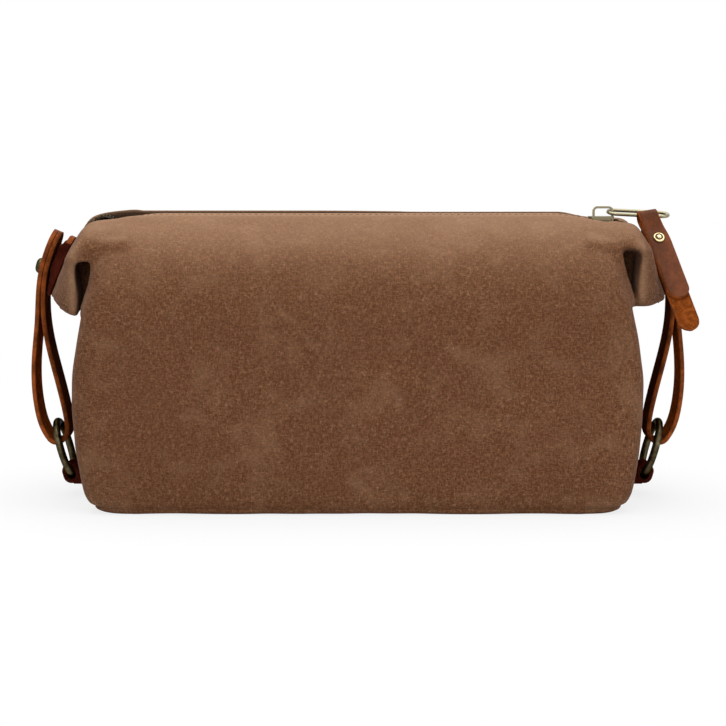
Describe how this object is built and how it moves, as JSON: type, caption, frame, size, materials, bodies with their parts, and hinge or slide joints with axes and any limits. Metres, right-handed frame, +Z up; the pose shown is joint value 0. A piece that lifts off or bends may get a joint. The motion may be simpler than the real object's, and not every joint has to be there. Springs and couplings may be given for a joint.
{
  "type": "shaving kit bag",
  "caption": "Boxy zipped canvas wash bag with folded ears at both ends, leather side straps through metal rings, and a leather zip pull.",
  "frame": {"origin": "middle of the flat base, on the surface it stands on", "axes": "+X along the zip towards its closed end, +Z up, the front panel faces -Y"},
  "size_m": [0.337, 0.128, 0.1482],
  "materials": {
    "canvas": "brushed mid-brown cotton canvas, plain weave",
    "lining": "plain dark brown cotton lining",
    "zip_tape": "woven dark brown tape",
    "leather_dark": "oiled brown leather, raw tan edges",
    "leather_red": "dark red-brown leather",
    "antique_brass": "antique brass, slightly worn",
    "bright_brass": "polished brass",
    "slider_metal": "dark antique finish, bright on the edges",
    "teeth_metal": "dark antique zip teeth"
  },
  "bodies": {
    "bag": {"back_canvas_panel": "canvas", "back_lining": "lining", "back_zip_tape": "zip_tape", "back_zip_teeth": "teeth_metal", "base_canvas_panel": "canvas", "front_canvas_panel": "canvas", "front_lining": "lining", "front_zip_tape": "zip_tape", "front_zip_teeth": "teeth_metal", "left_ear_patch": "leather_red", "left_ring_tab": "leather_red", "left_strap_inner_leg": "leather_dark", "left_stud_head": "antique_brass", "left_stud_screw": "antique_brass", "right_ear_patch": "leather_red", "right_ring_tab": "leather_red", "right_strap_inner_leg": "leather_dark", "right_stud_head": "antique_brass", "right_stud_screw": "antique_brass", "slip_pocket": "lining", "zip_end_stops": "teeth_metal"},
    "slider": {"slider_body": "slider_metal"},
    "pull_ring": {"pull_ring": "slider_metal"},
    "pull_tab": {"pull_tab": "leather_dark", "pull_rivet_cap": "bright_brass", "pull_rivet_post": "bright_brass"},
    "left_ring": {"left_side_ring": "antique_brass"},
    "right_ring": {"right_side_ring": "antique_brass"},
    "left_strap": {"left_strap_outer_leg": "leather_dark"},
    "right_strap": {"right_strap_outer_leg": "leather_dark"}
  },
  "joints": [
    {"name": "slider_travel", "type": "slide", "parent": "bag", "child": "slider", "axis": [-1, 0, 0], "range_m": [0, 0.238], "deforming": ["front_zip_teeth", "back_zip_teeth", "front_zip_tape", "back_zip_tape", "pull_tab", "pull_rivet_cap", "pull_rivet_post"]},
    {"name": "pull_ring_swing", "type": "hinge", "parent": "slider", "child": "pull_ring", "pos_m": [0.1276, 0, 0.14545], "axis": [0.0109, 0.9782, 0.2074], "range_deg": [-95, 0]},
    {"name": "pull_tab_swing", "type": "hinge", "parent": "pull_ring", "child": "pull_tab", "pos_m": [0.15072, -0.00421, 0.14334], "axis": [0.9757, 0.1628, 0.147], "range_deg": [-75, 0]},
    {"name": "left_ring_swing", "type": "hinge", "parent": "bag", "child": "left_ring", "pos_m": [-0.14734, 0, 0.01054], "axis": [0, -1, 0], "range_deg": [-2, 5]},
    {"name": "left_strap_release", "type": "hinge", "parent": "bag", "child": "left_strap", "pos_m": [-0.1584, 0, 0.0302], "axis": [0, -1, 0], "range_deg": [0, 100], "deforming": ["left_strap_outer_leg"]},
    {"name": "right_ring_swing", "type": "hinge", "parent": "bag", "child": "right_ring", "pos_m": [0.14734, 0, 0.01054], "axis": [0, 1, 0], "range_deg": [-2, 5]},
    {"name": "right_strap_release", "type": "hinge", "parent": "bag", "child": "right_strap", "pos_m": [0.1584, 0, 0.0302], "axis": [0, 1, 0], "range_deg": [0, 100], "deforming": ["right_strap_outer_leg"]}
  ]
}
